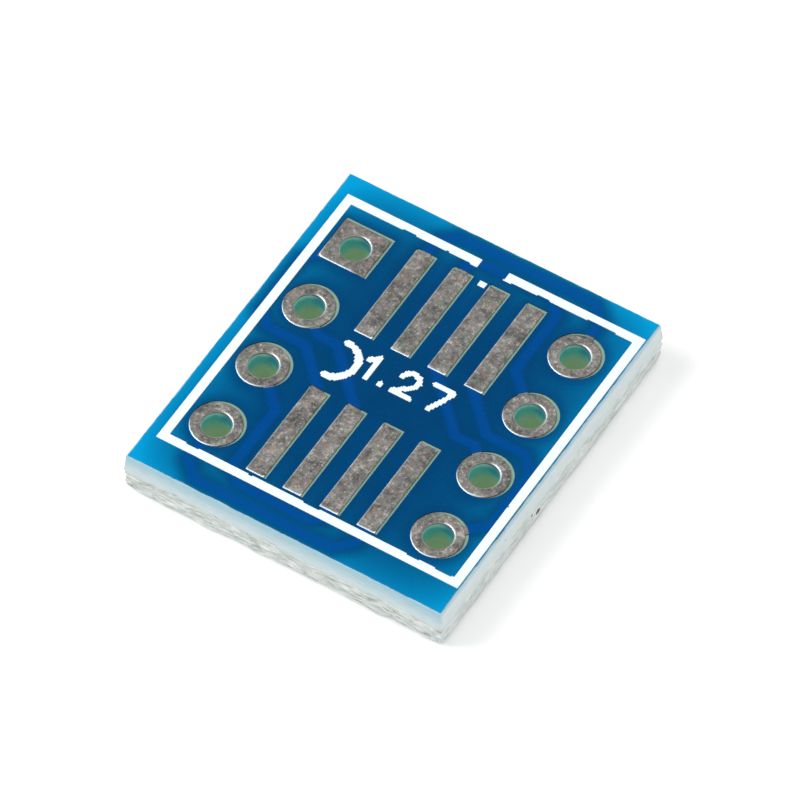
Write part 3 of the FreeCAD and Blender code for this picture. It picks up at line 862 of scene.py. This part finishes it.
def copper_form(node):
    """The copper of one conductor: its CAD solid without the tin on its lands."""
    form = bmesh.new()
    form.from_mesh(frame["nodes"][node].data)
    bmesh.ops.scale(form, vec=Vector((1 / MILLIMETRE,) * 3), verts=form.verts)
    bmesh.ops.remove_doubles(form, verts=form.verts, dist=0.0002)
    for height, outward in ((COPPER_TOP, Vector((0, 0, 1))), (COPPER_BOTTOM, Vector((0, 0, -1)))):
        geometry = list(form.verts) + list(form.edges) + list(form.faces)
        cut = bmesh.ops.bisect_plane(
            form, geom=geometry, dist=0.0002, plane_co=Vector((0, 0, height)), plane_no=outward,
            clear_outer=True,
        )["geom_cut"]
        rim = [item for item in cut if isinstance(item, bmesh.types.BMEdge) and item.is_boundary]
        if rim:
            bmesh.ops.triangle_fill(form, use_beauty=True, edges=rim, normal=outward)
    bmesh.ops.recalc_face_normals(form, faces=form.faces)
    return form


def off_middle_pads(x, y):
    """How far a point lies from the room kept clear round the two middle pads of the back row."""
    spots = [(side * PAD_PITCH / 2, PAD_ROW) for side in (-1, 1)]
    width, length = PAD_WIDTH + 2 * INK_ROOM, PAD_LENGTH + 2 * INK_ROOM
    return min(off_rectangle(x, y, spot, width, length) for spot in spots)


def off_gap_between(x, y):
    """How far a point lies from the strip between those two pads."""
    return off_rectangle(x, y, (0, PAD_ROW), PAD_PITCH, PAD_LENGTH + 2 * INK_ROOM)


def off_notch(x, y):
    """How far a point lies from the line of the round notch."""
    return abs(math.hypot(x, y - FRAME_HALF_LENGTH) - NOTCH_RADIUS) - INK_HALF_LINE


def frame_mark(x, y):
    """How far a point lies outside the frame's line, with the half-round notch at its back."""
    outer, inner = (
        off_rectangle(x, y, (0, 0), 2 * (FRAME_HALF_WIDTH + line), 2 * (FRAME_HALF_LENGTH + line))
        for line in (INK_HALF_LINE, -INK_HALF_LINE)
    )
    away = max(outer, -inner)
    if y > 0:
        away = max(away, NOTCH_RADIUS - INK_HALF_LINE - abs(x))
    if y < FRAME_HALF_LENGTH and abs(x) < 1:
        away = min(away, off_notch(x, y))
    return max(away, -off_middle_pads(x, y), -off_gap_between(x, y))


def notch_dot_mark(x, y):
    """How far a point lies outside what is left of the notch between the two middle pads."""
    return max(off_notch(x, y), -off_middle_pads(x, y), off_gap_between(x, y), y - NOTCH_DOT_END)


CRESCENT_MIDDLE, CRESCENT_RADIUS, CRESCENT_HALF_LINE = (-2.21, -0.1), 0.66, 0.125


def crescent_mark(x, y):
    """How far a point lies outside the half-round mark beside the pads."""
    x, y = x - CRESCENT_MIDDLE[X], y - CRESCENT_MIDDLE[Y]
    if x < 0:
        ends = (math.hypot(x, y - CRESCENT_RADIUS), math.hypot(x, y + CRESCENT_RADIUS))
        return min(ends) - CRESCENT_HALF_LINE
    return abs(math.hypot(x, y) - CRESCENT_RADIUS) - CRESCENT_HALF_LINE


# The pad pitch in plain figures: each one's middle, and the bends of its stroke from there.
FIGURES = (
    (-1.14, ((-0.2, 0.62), (0.04, 0.84), (0.04, 0.0))),
    (-0.64, ((0.0, 0.0), (0.0, 0.05))),
    (0.08, (
        (-0.3, 0.62), (-0.2, 0.8), (0.0, 0.86), (0.2, 0.79), (0.28, 0.6), (0.2, 0.42), (-0.3, 0.0),
        (0.31, 0.0),
    )),
    (1.1, ((-0.32, 0.84), (0.31, 0.84), (0.22, 0.58), (-0.06, 0.0))),
)
FIGURE_FOOT, FIGURE_HALF_LINE = -0.24, 0.095


def figures_mark(x, y):
    """How far a point lies outside the figures of the pad pitch."""
    return min(
        off_segment(x - middle, y - FIGURE_FOOT, *run)
        for middle, bends in FIGURES for run in zip(bends, bends[1:])
    ) - FIGURE_HALF_LINE


INK_FOOT, INK_HEIGHT = 1.575, 0.018


def printed_form(outside, low, high, dot, fray):
    """Ink laid down in square dots: every dot of the raster between two corners that a mark covers."""
    form = bmesh.new()
    width, length = high[X] - low[X], high[Y] - low[Y]
    middle = ((low[X] + high[X]) / 2, (low[Y] + high[Y]) / 2, 0)
    level_grid(form, round(width / dot), round(length / dot), (width / 2, length / 2), middle)
    blank = []
    for face in form.faces:
        spot = face.calc_center_median()
        uneven = fray * noise.noise(Vector((spot.x * 1.7, spot.y * 1.7, 3.0)))
        uneven += 0.12 * fray * noise.noise(Vector((spot.x * 5.0, spot.y * 5.0, 5.0)))
        if outside(spot.x, spot.y) + uneven > 0:
            blank.append(face)
    bmesh.ops.delete(form, geom=blank, context="FACES")
    border = [vertex for vertex in form.verts if vertex.is_boundary]
    bmesh.ops.smooth_vert(
        form, verts=border, factor=0.35, use_axis_x=True, use_axis_y=True, use_axis_z=True,
    )
    raised = bmesh.ops.extrude_face_region(form, geom=list(form.faces))["geom"]
    for item in raised:
        if isinstance(item, bmesh.types.BMVert):
            item.co.z = INK_HEIGHT
    bmesh.ops.translate(form, vec=LEGEND + Vector((0, 0, INK_FOOT)), verts=form.verts)
    bmesh.ops.recalc_face_normals(form, faces=form.faces)
    return form


def dress_board():
    """Every piece of the board, from the laminate out to the legend."""
    laminate = painted("glass_epoxy", laminate_paint)
    copper = painted("etched_copper", copper_paint)
    tin = painted("levelled_tin", tin_paint)
    mask = painted("blue_solder_mask", mask_paint)
    ink = painted("white_legend_ink", ink_paint)
    piece("glass_laminate", laminate_form(), laminate, "laminate", "laminate")
    for net in NETS:
        piece(f"copper_{net}", copper_form(f"conductor_{net}"), copper, "copper", f"conductor_{net}")
        piece(f"tinned_land_{net}", land_form(net), tin, "tin")
        pad = tin_block_form(pad_spot(net, COPPER), PAD_WIDTH, PAD_LENGTH, top=True)
        piece(f"tinned_pad_{net}", pad, tin, "tin", f"pad_tin_{net}")
        fine = tin_block_form(fine_spot(net, COPPER), FINE_WIDTH, FINE_LENGTH, top=False)
        piece(f"tinned_fine_pad_{net}", fine, tin, "tin", f"fine_pad_tin_{net}")
    top_mask = mask_form(TOP_TRACES, pad_spot, PAD_WIDTH, PAD_LENGTH, top=True)
    piece("top_mask_film", top_mask, mask, "solder_mask", "top_solder_mask")
    bottom_mask = mask_form(BOTTOM_TRACES, fine_spot, FINE_WIDTH, FINE_LENGTH, top=False)
    piece("bottom_mask_film", bottom_mask, mask, "solder_mask", "bottom_solder_mask")
    frame_ink = printed_form(frame_mark, (-5.3, -5.4), (5.3, 5.4), dot=0.042, fray=0.02)
    piece("frame_ink", frame_ink, ink, "legend_ink", "legend_frame")
    dot_ink = printed_form(notch_dot_mark, (-0.33, 4.3), (0.33, 4.96), dot=0.042, fray=0.02)
    piece("notch_dot_ink", dot_ink, ink, "legend_ink", "legend_notch_dot")
    crescent_ink = printed_form(crescent_mark, (-2.4, -1.0), (-1.38, 0.8), dot=0.06, fray=0.035)
    piece("crescent_ink", crescent_ink, ink, "legend_ink", "legend_crescent")
    figures_ink = printed_form(figures_mark, (-1.5, -0.5), (1.8, 0.9), dot=0.06, fray=0.015)
    piece("figures_ink", figures_ink, ink, "legend_ink")


# Studio


def lamp(name, direction, distance, size, power):
    """A soft square lamp that looks at the board, so many metres away and across."""
    data = bpy.data.lights.new(name, "AREA")
    data.shape = "SQUARE"
    data.size = size
    data.energy = power
    made = bpy.data.objects.new(name, data)
    towards = Vector(direction).normalized()
    made.location = towards * distance
    made.rotation_euler = towards.to_track_quat("Z", "Y").to_euler()
    bpy.context.scene.collection.objects.link(made)


def pale_floor():
    """A white sheet just under the board, a little brighter to the camera than the lamps make it."""
    form = bmesh.new()
    bmesh.ops.create_grid(form, x_segments=1, y_segments=1, size=0.5)
    bmesh.ops.translate(form, vec=Vector((0, 0, -0.00002)), verts=form.verts)
    mesh = bpy.data.meshes.new("floor")
    form.to_mesh(mesh)
    form.free()
    floor = bpy.data.objects.new("floor", mesh)
    bpy.context.scene.collection.objects.link(floor)
    paper = bpy.data.materials.new("white_paper")
    paper.use_nodes = True
    finish = Finish(paper.node_tree)
    seen = finish.node("ShaderNodeLightPath", {}, {}, "Is Camera Ray")
    diffuse = finish.node("ShaderNodeBsdfDiffuse", {}, {"Color": (0.9, 0.9, 0.9, 1.0)}, "BSDF")
    glow = {"Color": (1, 1, 1, 1), "Strength": seen * 0.22}
    lift = finish.node("ShaderNodeEmission", {}, glow, "Emission")
    both = finish.node("ShaderNodeAddShader", {}, {0: diffuse, 1: lift}, "Shader")
    finish.node("ShaderNodeOutputMaterial", {}, {"Surface": both})
    mesh.materials.append(paper)


def sky():
    """White all round, at full strength to the camera and in reflections, and less than half as light."""
    world = bpy.data.worlds.new("studio")
    world.use_nodes = True
    bpy.context.scene.world = world
    finish = Finish(world.node_tree)
    seen = finish.node("ShaderNodeLightPath", {}, {}, "Is Camera Ray")
    path = seen.socket.node.outputs
    for kind in ("Is Glossy Ray", "Is Transmission Ray"):
        seen = finish.sum_up("MAXIMUM", seen, Wire(finish, path[kind]))
    sockets = {"Color": (1, 1, 1, 1), "Strength": 0.45 + 0.55 * seen}
    background = finish.node("ShaderNodeBackground", {}, sockets, "Background")
    finish.node("ShaderNodeOutputWorld", {}, {"Surface": background})


def camera():
    """The photograph's view of the board, from its front right and high up, with a slight roll."""
    azimuth, elevation, roll = 0.56339, 0.93218, -0.0075
    looked_at, distance = Vector((0.343, -0.253, 1.585)), 275.65
    back = Vector((
        math.sin(azimuth) * math.cos(elevation),
        -math.cos(azimuth) * math.cos(elevation),
        math.sin(elevation),
    ))
    level = Vector((math.cos(azimuth), math.sin(azimuth), 0))
    upright = back.cross(level)
    right = math.cos(roll) * level + math.sin(roll) * upright
    up = math.cos(roll) * upright - math.sin(roll) * level
    data = bpy.data.cameras.new("camera")
    data.sensor_width = 36
    data.lens = 423.8
    data.clip_start, data.clip_end = 0.01, 10
    made = bpy.data.objects.new("camera", data)
    place = Matrix((right, up, back)).transposed().to_4x4()
    place.translation = (looked_at + distance * back) * MILLIMETRE
    made.matrix_world = place
    bpy.context.scene.collection.objects.link(made)
    bpy.context.scene.camera = made
    bpy.context.scene.view_settings.view_transform = "Standard"


def studio():
    """A pale floor and sky, three soft lamps, and the camera at the photograph's angle."""
    pale_floor()
    sky()
    lamp("left_lamp", (-0.62, -0.30, 0.72), distance=0.4, size=0.22, power=0.92)
    lamp("top_lamp", (0.1, 0.5, 0.9), distance=0.5, size=0.4, power=0.5)
    lamp("right_lamp", (0.85, -0.25, 0.45), distance=0.4, size=0.3, power=0.32)
    camera()


studio()
dress_board()
